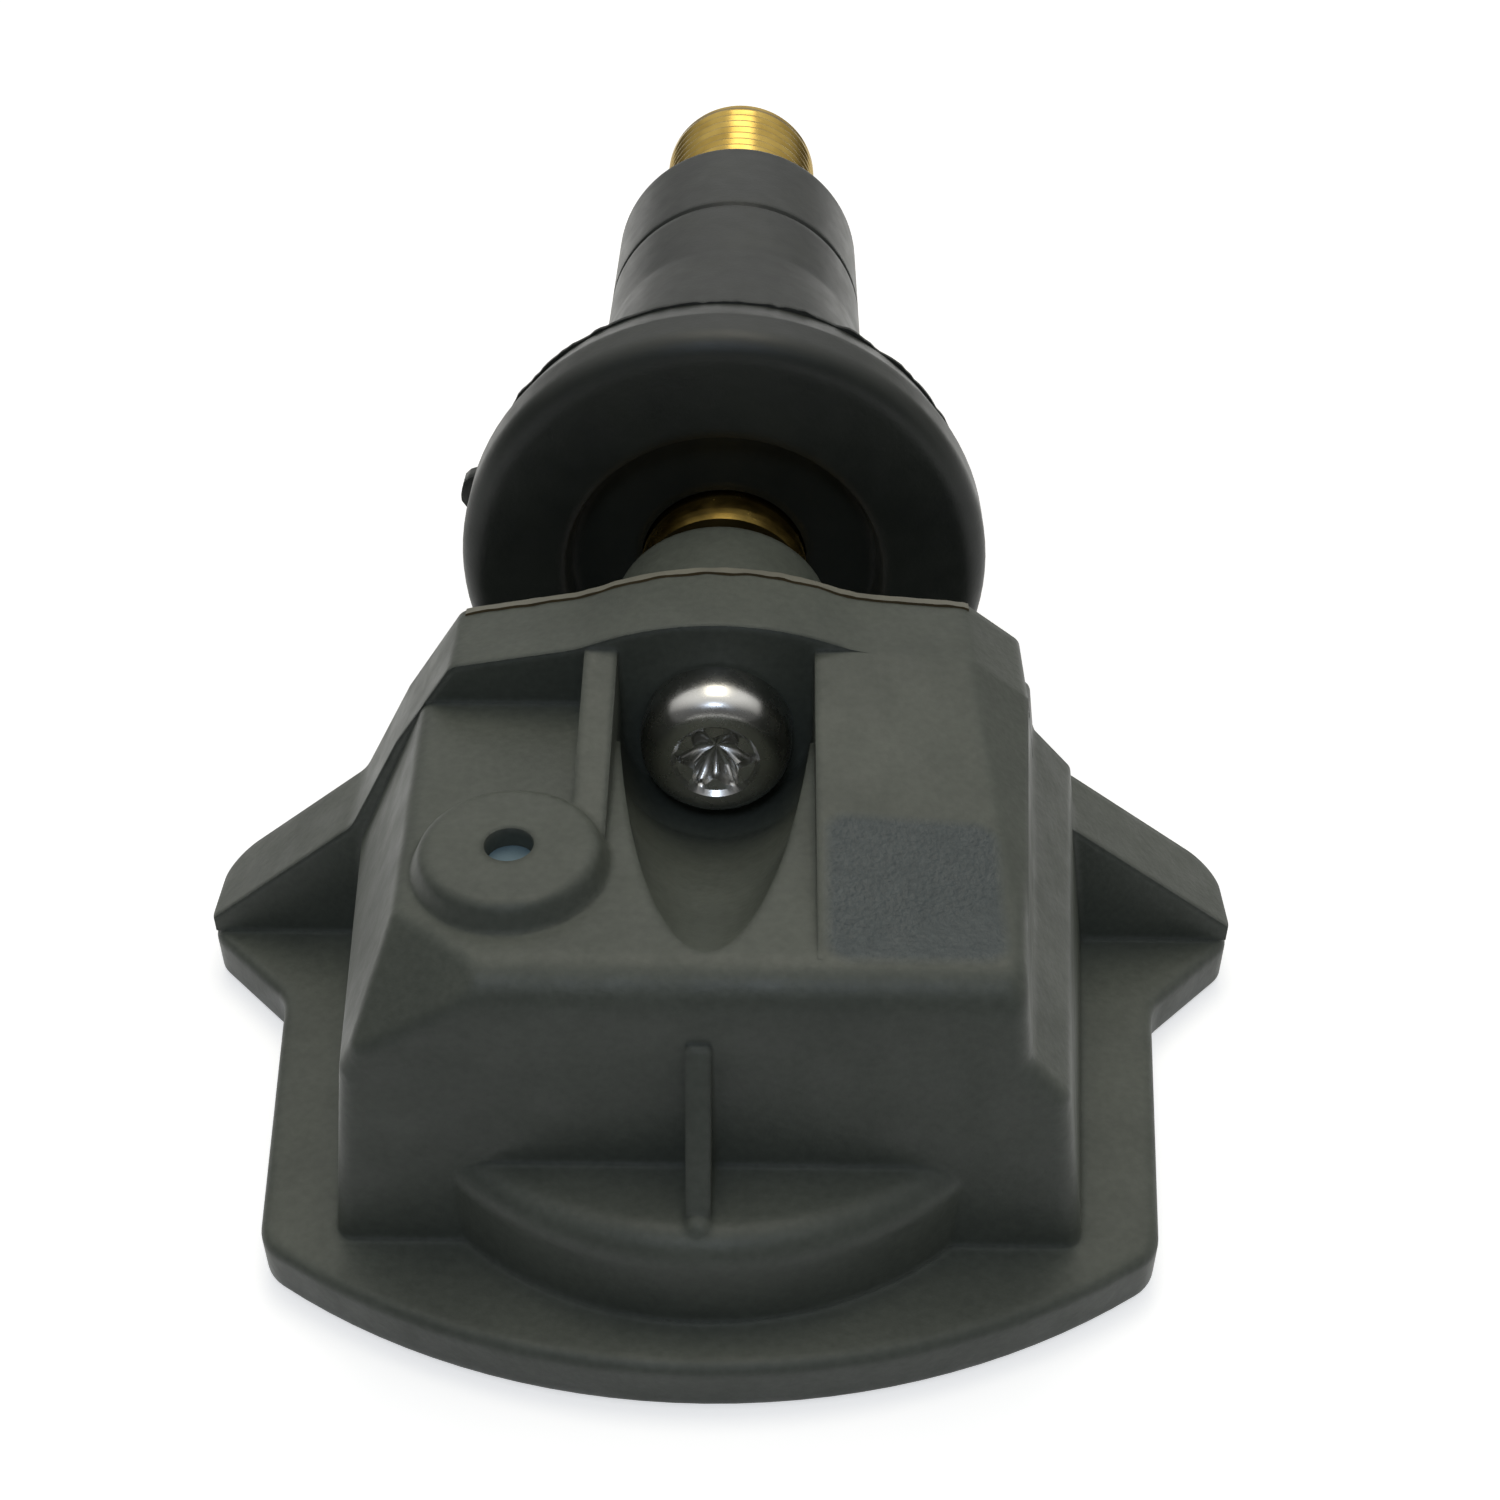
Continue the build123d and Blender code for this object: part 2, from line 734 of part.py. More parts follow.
def chip_capacitors():
    """A row of chip capacitors behind the crystal."""
    pitch = 2 * capacitor_width
    row_y = boss_y + crystal_length
    group = [
        Pos((index - (capacitor_count - 1) / 2) * pitch, row_y, board_top_z + capacitor_height / 2)
        * Box(capacitor_width, capacitor_length, capacitor_height)
        for index in range(capacitor_count)
    ]
    return Compound(children=group)


def antenna():
    """The antenna: a flat metal strip on two feet along the board's front edge."""
    row_y = cavity_front_y + board_margin + antenna_width
    span = (-antenna_span / 2, antenna_span / 2)
    width = (row_y - antenna_width / 2, row_y + antenna_width / 2)
    strip = block(span, width, (board_top_z + antenna_height - antenna_strip, board_top_z + antenna_height))
    feet = [
        block((x, x + antenna_strip), width, (board_top_z, board_top_z + antenna_height))
        for x in (span[0], span[1] - antenna_strip)
    ]
    return strip + feet[0] + feet[1]


def battery_cell():
    """The coin cell: a can with a smaller cap below."""
    step_z = battery_height / 8
    profile = [
        (0, battery_bottom_z),
        (battery_radius - battery_step, battery_bottom_z),
        (battery_radius - battery_step, battery_bottom_z + step_z),
        (battery_radius, battery_bottom_z + step_z),
        (battery_radius, battery_top_z),
        (0, battery_top_z),
    ]
    return turned_upright(profile, 0, battery_y)


def battery_tab(side, face_z, outward):
    """A welded tab: a strip on one face of the cell and a leg up to the board."""
    low = min(face_z, face_z + outward * tab_thickness)
    reach = battery_radius + tab_thickness + fit
    span = sorted((side * tab_width / 2, side * reach))
    width = (battery_y + tab_width / 2, battery_y + 3 * tab_width / 2)
    strip = block(span, width, (low, low + tab_thickness))
    leg = block(sorted((side * (reach - tab_thickness), side * reach)), width, (low, board_bottom_z))
    return strip + leg


def depth_profile(points):
    """Turns (radius, depth below the tip) points into a solid about the axis."""
    return turned([(radius, stem_tip - depth) for radius, depth in points])


def tube(radius, bore, top, length):
    """A plain ring of the valve core from a depth below the tip."""
    return depth_profile([(bore, top), (radius, top), (radius, top + length), (bore, top + length)])


barrel_top = plug_top + plug_length + seat_gap
barrel_end = barrel_top + barrel_length
collar_top = barrel_top + barrel_head / 2
cup_top = barrel_end + seat_gap + cup_seal
pin_end = cup_top + cup_length + pin_tail


def core_plug():
    """The threaded plug on top of the valve core, with the bridge that guides the pin."""
    ring = tube(plug_radius, plug_bore, plug_top, plug_length)
    bridge = block(
        (-plug_bore - fit, plug_bore + fit),
        (stem_tip - plug_top - bridge_height, stem_tip - plug_top),
        (-bridge_width / 2, bridge_width / 2),
    )
    return ring + bridge - rod(pin_radius + loose_fit, stem_tip, stem_tip - plug_top - plug_length)


def core_barrel():
    """The barrel with a head under the plug and a ledge that holds the spring."""
    head = tube(barrel_head_radius, barrel_bore, barrel_top, barrel_head)
    wall = tube(barrel_radius, barrel_bore, barrel_top, barrel_length)
    ledge = tube(barrel_radius, barrel_ledge_bore, barrel_end - barrel_ledge, barrel_ledge)
    return head + wall + ledge


def core_barrel_seal():
    """The cone ring that seals the barrel in the stem."""
    bore = barrel_radius + fit
    end = core_seal_at + core_seal_length
    return depth_profile(
        [(bore, core_seal_at), (core_seal_radius, core_seal_at), (core_seal_end_radius, end), (bore, end)]
    )


def core_pin():
    """The pin that opens the valve, with the collar that the spring lifts."""
    pin = rod(pin_radius, stem_tip - pin_top, stem_tip - pin_end)
    return pin + rod(pin_collar_radius, stem_tip - collar_top, stem_tip - collar_top - pin_collar)


def core_spring():
    """The coil spring between the pin's collar and the barrel's ledge."""
    top = collar_top + pin_collar + spring_wire + fit
    bottom = barrel_end - barrel_ledge - spring_wire - fit
    mean_radius = (barrel_bore + pin_radius) / 2
    height = bottom - top
    path = Helix(height / spring_turns, height, mean_radius)
    wire = Plane(origin=path @ 0, z_dir=path % 0) * RegularPolygon(spring_wire, spring_wire_sides)
    coil = sweep(wire, path)
    return Pos(0, stem_tip - top, 0) * Rot(90, 0, 0) * coil


coil_core, coil_winding = lf_coil()
nodes = {
    "housing": housing(),
    "potting_fill": potting_fill(),
    "circuit_board": circuit_board(),
    "pressure_chip": pressure_chip(),
    "port_seal": port_seal(),
    "lf_coil_core": coil_core,
    "lf_coil_winding": coil_winding,
    "crystal": crystal(),
    "chip_capacitors": chip_capacitors(),
    "antenna": antenna(),
    "battery_cell": battery_cell(),
    "battery_tab_positive": battery_tab(1, battery_top_z, 1),
    "battery_tab_negative": battery_tab(-1, battery_bottom_z, -1),
    "fixing_screw": fixing_screw(),
    "valve_stem": valve_stem(),
    "valve_rubber": valve_rubber(),
    "core_plug": core_plug(),
    "core_barrel": core_barrel(),
    "core_barrel_seal": core_barrel_seal(),
    "core_pin": core_pin(),
    "core_cup": tube(cup_radius, pin_radius + fit, cup_top, cup_length),
    "core_cup_seal": tube(cup_seal_radius, pin_radius + fit, cup_top - cup_seal, cup_seal),
    "core_spring": core_spring(),
}

os.makedirs("parts", exist_ok=True)
for name, solid in nodes.items():
    export_step(solid, f"parts/{name}.step")
    print(name, round(solid.volume, 2))
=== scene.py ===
# %% [markdown]
# A tyre pressure sensor sits inside a wheel, on the foot of a snap-in rubber valve.
# The solids already have their true size and place, so this lesson only dresses them:
# it gives each piece its finish and models what is too fine for them, such as thread and flash.

# %% Load the solids as a fixed frame
import math

import bmesh
import bpy
from mathutils import Matrix, Vector, noise


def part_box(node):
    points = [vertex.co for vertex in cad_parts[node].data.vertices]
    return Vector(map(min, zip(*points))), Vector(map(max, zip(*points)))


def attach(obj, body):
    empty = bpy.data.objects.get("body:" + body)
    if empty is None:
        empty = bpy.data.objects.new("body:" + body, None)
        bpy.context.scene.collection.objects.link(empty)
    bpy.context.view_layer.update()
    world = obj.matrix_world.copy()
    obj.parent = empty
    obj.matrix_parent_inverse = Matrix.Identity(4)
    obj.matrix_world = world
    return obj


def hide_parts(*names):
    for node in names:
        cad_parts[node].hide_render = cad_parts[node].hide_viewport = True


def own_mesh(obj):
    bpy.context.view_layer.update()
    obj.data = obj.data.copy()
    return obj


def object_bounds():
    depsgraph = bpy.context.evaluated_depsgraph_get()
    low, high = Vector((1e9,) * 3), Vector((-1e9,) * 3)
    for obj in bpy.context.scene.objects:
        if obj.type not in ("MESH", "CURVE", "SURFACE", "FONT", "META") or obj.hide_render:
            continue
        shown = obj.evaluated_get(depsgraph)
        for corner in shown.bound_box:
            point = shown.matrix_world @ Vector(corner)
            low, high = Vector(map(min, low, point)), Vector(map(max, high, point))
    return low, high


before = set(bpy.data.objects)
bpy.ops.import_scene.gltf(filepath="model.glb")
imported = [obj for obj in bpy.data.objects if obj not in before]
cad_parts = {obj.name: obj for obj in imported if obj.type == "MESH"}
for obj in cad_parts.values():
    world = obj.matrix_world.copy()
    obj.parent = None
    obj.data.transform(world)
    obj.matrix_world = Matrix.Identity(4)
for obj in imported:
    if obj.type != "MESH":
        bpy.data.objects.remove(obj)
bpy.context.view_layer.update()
MM = 0.001

# %% [markdown]
# Colours are easiest to pick as the hex values that a screen shows.
# Cycles works in linear light, so one function does the change.
# Materials are built from nodes. A second small function adds a node, sets it and links it,
# which keeps each material short enough to read as a recipe.

# %% Helpers for colours, nodes and materials


def srgb(hex_colour):
    """A screen colour such as #565850 as linear red, green, blue and alpha."""
    channels = [int(hex_colour[i : i + 2], 16) / 255 for i in (1, 3, 5)]
    linear = [c / 12.92 if c <= 0.04045 else ((c + 0.055) / 1.055) ** 2.4 for c in channels]
    return (*linear, 1.0)


def add(tree, kind, settings=None, links=None):
    """Adds a node, sets its sockets or properties, and links its inputs."""
    node = tree.nodes.new(kind)
    for key, value in (settings or {}).items():
        if isinstance(key, int) or key in node.inputs:
            node.inputs[key].default_value = value
        else:
            setattr(node, key, value)
    for key, source in (links or {}).items():
        tree.links.new(source, node.inputs[key])
    return node


def new_material(name, **sockets):
    """A material with a Principled shader; returns it with its tree and shader."""
    made = bpy.data.materials.new(name)
    made.use_nodes = True
    tree = made.node_tree
    shader = tree.nodes["Principled BSDF"]
    for key, value in sockets.items():
        shader.inputs[key.replace("_", " ").title().replace("Ior", "IOR")].default_value = value
    return made, tree, shader


print("helpers ready; mid grey is", [round(c, 3) for c in srgb("#808080")])

# %% [markdown]
# Few real surfaces are one even colour. Noise of a real size mixes two near colours in blotches
# or moves the roughness a little, and a finer noise, used as bump, gives the grain of a mould.
# No moulded edge is a knife edge: the large rounds are in the solids, and near every other edge
# a bevel node can turn the normals, so light rolls over it as it does over a small radius.

# %% Helpers for blotches and grain
noise_low, noise_high = 0.3, 0.7  # noise seldom leaves this range
edge_samples = 4


def per_mm(size):
    """The texture scale at which one feature is this many millimetres wide."""
    return 1 / (size * MM)


def blotches(tree, place, size, low, high, detail=4.0):
    """A soft noise of a real size, stretched between two values."""
    settings = {"Scale": per_mm(size), "Detail": detail}
    spots = add(tree, "ShaderNodeTexNoise", settings, {"Vector": place})
    return add(
        tree,
        "ShaderNodeMapRange",
        {"From Min": noise_low, "From Max": noise_high, "To Min": low, "To Max": high},
        {"Value": spots.outputs["Fac"]},
    ).outputs["Result"]


def two_tone(tree, place, size, hex_low, hex_high):
    """Two near colours, mixed in blotches of a real size."""
    return add(
        tree,
        "ShaderNodeMix",
        {"data_type": "RGBA", 6: srgb(hex_low), 7: srgb(hex_high)},
        {0: blotches(tree, place, size, 0.0, 1.0)},
    ).outputs[2]


def grain(tree, shader, place, size, depth, edge=0.0):
    """A fine grain as bump, over softened edges where asked; all in millimetres."""
    settings = {"Scale": per_mm(size), "Detail": 3.0}
    spots = add(tree, "ShaderNodeTexNoise", settings, {"Vector": place})
    bump = add(
        tree,
        "ShaderNodeBump",
        {"Strength": 1.0, "Distance": depth * MM},
        {"Height": spots.outputs["Fac"]},
    )
    if edge:
        soft = add(tree, "ShaderNodeBevel", {"samples": edge_samples, "Radius": edge * MM})
        tree.links.new(soft.outputs["Normal"], bump.inputs["Normal"])
    tree.links.new(bump.outputs["Normal"], shader.inputs["Normal"])
    return bump


print("patterns ready; a scale of", round(per_mm(0.5)), "gives blotches of 0.5 mm")

# %% [markdown]
# The housing is PBT with short glass fibres, moulded grey: it gives the eye a soft shade
# and hardly a highlight. The pad on its raised block was spark-eroded in the tool, so it is rougher
# and reads bluer. A mask says where the pad is: a box with rounded corners about the pad's centre,
# found by vector arithmetic on the place of each point.

# %% Mask of the eroded pad
pbt, tree, shader = new_material("glass_filled_pbt", ior=1.55, specular_ior_level=0.25)
place = add(tree, "ShaderNodeTexCoord").outputs["Object"]
pad_centre = Vector((6.25, -25.3, 2.6))
pad_half = Vector((2.65, 2.7, 3.0))
pad_corner, pad_edge = 0.7, 0.2
straight = pad_half - Vector((pad_corner, pad_corner, pad_corner))
nothing = Vector((0, 0, 0))
away = place
for operation, operand in (
    ("SUBTRACT", pad_centre * MM),
    ("ABSOLUTE", nothing),
    ("SUBTRACT", straight * MM),
    ("MAXIMUM", nothing),
):
    settings = {"operation": operation, 1: operand}
    away = add(tree, "ShaderNodeVectorMath", settings, {0: away}).outputs[0]
distance = add(tree, "ShaderNodeVectorMath", {"operation": "LENGTH"}, {0: away}).outputs["Value"]
pad = add(
    tree,
    "ShaderNodeMapRange",
    {"From Min": (pad_corner + pad_edge) * MM, "From Max": (pad_corner - pad_edge) * MM},
    {"Value": distance},
).outputs["Result"]
print("pad of", round(2 * pad_half.x, 1), "by", round(2 * pad_half.y, 1), "mm")

# %% [markdown]
# Fibres near the skin make the plastic cloudy, so two greys are mixed in blotches of a few millimetres
# and fine speckles go over both. On the pad the spark left pits, which are one more bump
# on top of the grain, wherever the mask is white.

# %% Glass-filled PBT
pbt_grey = two_tone(tree, place, size=3.5, hex_low="#4F534B", hex_high="#585C53")
eroded_grey = two_tone(tree, place, size=0.2, hex_low="#434A4A", hex_high="#4D5453")
greys = {0: pad, 6: pbt_grey, 7: eroded_grey}
both = add(tree, "ShaderNodeMix", {"data_type": "RGBA"}, greys).outputs[2]
speckles = blotches(tree, place, size=0.28, low=0.9, high=1.08, detail=2.0)
speckled = add(
    tree,
    "ShaderNodeMix",
    {"data_type": "RGBA", "blend_type": "MULTIPLY", 0: 1.0},
    {6: both, 7: speckles},
).outputs[2]
tree.links.new(speckled, shader.inputs["Base Color"])
matt_spots = blotches(tree, place, size=1.2, low=0.38, high=0.5)
tree.links.new(matt_spots, shader.inputs["Roughness"])
moulded = grain(tree, shader, place, size=0.22, depth=0.012, edge=0.4)
pit_depth = 0.022
pits = blotches(tree, place, size=0.15, low=0.0, high=1.0, detail=2.0)
pits = add(tree, "ShaderNodeMath", {"operation": "MULTIPLY"}, {0: pits, 1: pad}).outputs[0]
rough_pad = add(
    tree,
    "ShaderNodeBump",
    {"Strength": 1.0, "Distance": pit_depth * MM},
    {"Height": pits, "Normal": moulded.outputs["Normal"]},
)
tree.links.new(rough_pad.outputs["Normal"], shader.inputs["Normal"])
print("made", pbt.name)

# %% [markdown]
# The valve's body is EPDM rubber, compression moulded. It is nearly black, satin rather than glossy,
# with a thin bloom that greys it where it is seen at a slant: a little sheen gives that.
# The same rubber makes the small seal on the core's cup.

# %% EPDM rubber
epdm, tree, shader = new_material(
    "epdm_rubber",
    ior=1.52,
    specular_ior_level=0.32,
    sheen_weight=0.05,
    sheen_roughness=0.35,
    sheen_tint=srgb("#EFEEDD"),
)
place = add(tree, "ShaderNodeTexCoord").outputs["Object"]
rubber_black = two_tone(tree, place, size=2.6, hex_low="#272A26", hex_high="#2F322C")
tree.links.new(rubber_black, shader.inputs["Base Color"])
satin_spots = blotches(tree, place, size=0.9, low=0.34, high=0.42)
tree.links.new(satin_spots, shader.inputs["Roughness"])
grain(tree, shader, place, size=0.16, depth=0.006, edge=0.6)
print("made", epdm.name)

# %% [markdown]
# Stem and core are turned brass. A lathe tool leaves rings round the axis,
# which stretch each highlight along the stem. The rings are a wave along Y, the valve's axis.
# They are drawn every 0.75 mm on brass, far coarser than a real feed, so that they show.
# The other metals share the recipe, each with its own spacing and depth.

# %% Turned brass and other metals
wave_spacing = math.pi / 10  # of a wave texture whose scale is 1
tarnish_size, smear_size = 1.6, 0.7


def turned_metal(name, hex_light, hex_dark, ring, depth, rough):
    """A metal with rings so far apart and so deep, in millimetres, and a little tarnish."""
    made, tree, shader = new_material(name, metallic=1.0)
    place = add(tree, "ShaderNodeTexCoord").outputs["Object"]
    colour = two_tone(tree, place, tarnish_size, hex_light, hex_dark)
    tree.links.new(colour, shader.inputs["Base Color"])
    tree.links.new(blotches(tree, place, smear_size, *rough), shader.inputs["Roughness"])
    rings = add(
        tree,
        "ShaderNodeTexWave",
        {
            "wave_type": "BANDS",
            "bands_direction": "Y",
            "Scale": wave_spacing * per_mm(ring),
            "Distortion": 0.3,
            "Detail": 2.0,
            "Detail Scale": 2.0,
        },
        {"Vector": place},
    )
    bump = add(
        tree,
        "ShaderNodeBump",
        {"Strength": 1.0, "Distance": depth * MM},
        {"Height": rings.outputs["Fac"]},
    )
    tree.links.new(bump.outputs["Normal"], shader.inputs["Normal"])
    return made


# warm yellow, with long highlights and duller blotches where it has tarnished
brass = turned_metal(
    "turned_brass", "#B99E56", "#9C8140", ring=0.754, depth=0.001, rough=(0.18, 0.28)
)
# nearly white, the brightest mirror on the part
stainless = turned_metal(
    "bright_stainless_steel", "#D2D1CC", "#B9B8B3", ring=0.628, depth=0.0006, rough=(0.22, 0.32)
)
# a warmer and duller white
nickel = turned_metal(
    "nickel_plated_steel", "#C9C6BE", "#AAA79E", ring=1.885, depth=0.002, rough=(0.22, 0.36)
)
# orange, with soft highlights along the wire
copper = turned_metal(
    "drawn_copper", "#C77B4A", "#A85F36", ring=1.257, depth=0.004, rough=(0.24, 0.4)
)
print("made", brass.name, stainless.name, nickel.name, copper.name)

# %% [markdown]
# The pieces inside are hidden in use, but each still has its own finish:
# potting resin, solder mask, moulded chip epoxy, silicone, ferrite, fired ceramic and PTFE.
# They share one recipe, a soft colour change and a fine grain, with values for each material.

# %% Finishes of the inner pieces
cloud_to_grain = 6


def mottled(name, hex_low, hex_high, rough, size, depth):
    """A cast, moulded or fired finish: two near colours, one roughness, a fine grain."""
    made, tree, shader = new_material(name, roughness=rough)
    place = add(tree, "ShaderNodeTexCoord").outputs["Object"]
    colour = two_tone(tree, place, cloud_to_grain * size, hex_low, hex_high)
    tree.links.new(colour, shader.inputs["Base Color"])
    grain(tree, shader, place, size, depth)
    return made


# poured, so it is glossy and its top is gently uneven
potting = mottled("potting_resin", "#141517", "#1F2123", rough=0.28, size=0.9, depth=0.03)
# a thin glossy green film
solder_mask = mottled("solder_mask", "#0E4A2A", "#176037", rough=0.3, size=0.3, depth=0.006)
# matt black with a fine tooth
chip_epoxy = mottled("chip_epoxy", "#1C1C1E", "#2A2A2C", rough=0.55, size=0.12, depth=0.006)
# pale grey and soft in its shine
silicone = mottled("silicone_rubber", "#A9ACA8", "#BABDB9", rough=0.5, size=0.2, depth=0.005)
# dark grey and grainy from the press
ferrite = mottled("sintered_ferrite", "#2C2C2E", "#3D3D40", rough=0.5, size=0.1, depth=0.01)
# tan, with a dull fired skin
ceramic = mottled("fired_ceramic", "#A58A66", "#B99D77", rough=0.45, size=0.1, depth=0.005)
# red and waxy
ptfe = mottled("ptfe", "#B8322A", "#CC4136", rough=0.4, size=0.15, depth=0.004)
inner = [potting, solder_mask, chip_epoxy, silicone, ferrite, ceramic, ptfe]
print("made", *[finish.name for finish in inner])

# %% [markdown]
# Now every solid gets its finish from a table of names.
# Any material that a solid brings along is cleared first, and its mesh stays as it is.

# %% Dress the solids
finishes = {
    "housing": pbt,
    "potting_fill": potting,
    "circuit_board": solder_mask,
    "pressure_chip": chip_epoxy,
    "port_seal": silicone,
    "lf_coil_core": ferrite,
    "lf_coil_winding": copper,
    "crystal": nickel,
    "chip_capacitors": ceramic,
    "antenna": copper,
    "battery_cell": nickel,
    "battery_tab_positive": nickel,
    "battery_tab_negative": nickel,
    "fixing_screw": stainless,
    "valve_stem": brass,
    "valve_rubber": epdm,
    "core_plug": brass,
    "core_barrel": brass,
    "core_barrel_seal": ptfe,
    "core_pin": brass,
    "core_cup": brass,
    "core_cup_seal": epdm,
    "core_spring": stainless,
}
for node, finish in finishes.items():
    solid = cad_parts[node]
    solid.data.materials.clear()
    solid.data.materials.append(finish)
print("dressed", len(finishes), "nodes")

# %% [markdown]
# Screw and stem are round about one axis, so a lathe in code suits them: a list of rings from one end
# of the piece to the other, each with a radius and a place along the valve's axis, joined by a skin.
# A ring may also carry a wave that changes its radius round the turn, for lobes or a thread.

# %% A lathe for round pieces
weld_distance, crisp_angle = 0.001, math.radians(30)


def bridge(skin, loops, capped=False):
    """Joins each loop of points to the next by faces, and closes both ends where asked."""
    faces = []
    for loop, after in zip(loops, loops[1:]):
        for spot in range(len(loop)):
            corners = (loop[spot], loop[spot - 1], after[spot - 1], after[spot])
            faces.append(skin.faces.new(corners))
    if capped:
        skin.faces.new(loops[0])
        skin.faces.new(loops[-1])
    return faces


def show(name, skin, finish):
    """Makes a fixed piece of the sensor from a skin, smooth but for its sharp edges."""
    bmesh.ops.remove_doubles(skin, verts=skin.verts, dist=weld_distance * MM)
    bmesh.ops.recalc_face_normals(skin, faces=skin.faces)
    for face in skin.faces:
        face.smooth = True
    for edge in skin.edges:
        edge.smooth = edge.calc_face_angle(0.0) < crisp_angle
    mesh = bpy.data.meshes.new(name)
    skin.to_mesh(mesh)
    skin.free()
    mesh.materials.append(finish)
    made = bpy.data.objects.new(name, mesh)
    bpy.context.collection.objects.link(made)
    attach(made, "sensor")
    return made


def lathe(rings, sides):
    """A skin through rings of (radius, y) or (radius, y, wave) in millimetres, about the axis."""
    skin = bmesh.new()
    turns = [2 * math.pi * side / sides for side in range(sides)]
    loops = []
    for radius, y, *wave in rings:
        reaches = [(radius + wave[0](turn) if wave else radius, turn) for turn in turns]
        places = [Vector((r * math.cos(turn), y, r * math.sin(turn))) * MM for r, turn in reaches]
        loops.append([skin.verts.new(place) for place in places])
    bridge(skin, loops)
    return skin


print("lathe ready")

# %% [markdown]
# The stem's bores follow the pieces that sit in them, so their sizes come from the frame:
# the screw in its base, and in its tip the plug and the seal of the valve core.
# Between them runs the air passage. Sizes that no box gives are those of the solid, in millimetres.

# %% Measure the stem
close_fit = 0.02
stem_low, stem_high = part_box("valve_stem")
base_y, tip_y = stem_low.y / MM, stem_high.y / MM
crest_radius = stem_high.x / MM
base_radius, core_radius, neck_y = 3.17, 2.75, -4.2
_, screw_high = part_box("fixing_screw")
shank_radius, shank_end = 1.5, screw_high.y / MM
screw_bore, screw_room = shank_radius + close_fit, 0.12
screw_bore_end = shank_end + screw_room
web = 0.6
passage_radius, passage_start = 1.3, screw_bore_end + web
plug_low, plug_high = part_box("core_plug")
plug_bore, plug_seat = plug_high.x / MM + close_fit, plug_low.y / MM
seal_low, seal_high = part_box("core_barrel_seal")
seal_bore = seal_high.x / MM + 2 * close_fit
chamber_bore, chamber_depth = 1.99, 14.6
chamber_end = tip_y - chamber_depth
print("stem from", round(base_y, 2), "to", round(tip_y, 2), "mm")

# %% [markdown]
# The stem's tip has a rolled thread for the dust cap, too fine for the solids, and its bare base
# shows the rings that the tool left. The thread is a wave whose phase moves on with the turn:
# that alone makes a helix of it. At both ends the wave fades out, as the thread does.

# %% Turn the brass stem
tip_chamfer, taper_length = 0.5, 5
_, rubber_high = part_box("valve_rubber")
thread_start, thread_end = rubber_high.y / MM, tip_y - tip_chamfer
thread_pitch, thread_depth, groove_share, thread_steps = 0.79, 0.2, 0.9, 12
marks, marks_from, mark_spacing, mark_depth, mark_flank = 5, -7.3, 0.38, 0.155, 0.05
stem_sides = 96


def thread_wave(y):
    """The thread's groove at one place along the axis, as a wave round the turn."""
    fade = min(1.0, (y - thread_start) / thread_pitch, (thread_end - y) / thread_pitch)

    def wave(turn):
        phase = (y / thread_pitch - turn / (2 * math.pi)) % 1
        return -thread_depth * max(fade, 0.0) * max(0.0, 1 - abs(2 * phase - 1) / groove_share)

    return wave


rings = [(0, screw_bore_end), (screw_bore, screw_bore_end), (screw_bore, base_y)]
rings += [(base_radius, base_y)]
for mark in range(marks):
    mark_y = marks_from + mark * mark_spacing
    rings += [(base_radius, mark_y), (base_radius - mark_depth, mark_y + mark_flank)]
rings += [(base_radius, neck_y), (core_radius, neck_y + base_radius - core_radius)]
rings += [(core_radius, thread_start - taper_length)]
thread_turns = (thread_end - thread_start) / thread_pitch
for step in range(int(thread_turns * thread_steps) + 1):
    y = thread_start + step * thread_pitch / thread_steps
    rings.append((crest_radius, y, thread_wave(y)))
rings += [(crest_radius, thread_end), (crest_radius - tip_chamfer, tip_y), (plug_bore, tip_y)]
rings += [(plug_bore, plug_seat), (seal_bore, plug_seat), (seal_bore, seal_high.y / MM)]
rings += [(chamber_bore, seal_low.y / MM), (chamber_bore, chamber_end)]
rings += [(passage_radius, chamber_end), (passage_radius, passage_start), (0, passage_start)]
stem = show("turned_stem", lathe(rings, stem_sides), brass)
print("thread turns:", round(thread_turns, 1))

# %% [markdown]
# Air gets from the tyre into the passage through a small hole drilled across the stem from below.
# A lathe can't make that, so a boolean takes a drill bit away from the stem.
# The result is kept as a plain mesh, and the bit is thrown away.

# %% Drill the air hole
hole_radius, hole_sides = 0.6, 32
hole_y = passage_start + 2 * hole_radius
drill = bmesh.new()
bmesh.ops.create_cone(
    drill,
    cap_ends=True,
    segments=hole_sides,
    radius1=hole_radius * MM,
    radius2=hole_radius * MM,
    depth=2 * base_radius * MM,
)
bmesh.ops.translate(drill, verts=drill.verts, vec=Vector((0, hole_y, -base_radius)) * MM)
drill_mesh = bpy.data.meshes.new("drill")
drill.to_mesh(drill_mesh)
drill.free()
drill_bit = bpy.data.objects.new("drill", drill_mesh)
bpy.context.collection.objects.link(drill_bit)
cut = stem.modifiers.new("cross_hole", "BOOLEAN")
cut.operation = "DIFFERENCE"
cut.object = drill_bit
drilled = stem.evaluated_get(bpy.context.evaluated_depsgraph_get())
stem.data = bpy.data.meshes.new_from_object(drilled)
stem.modifiers.clear()
bpy.data.objects.remove(drill_bit)
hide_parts("valve_stem")
print("hole at", round(hole_y, 2), "mm; the stem has", len(stem.data.polygons), "faces")
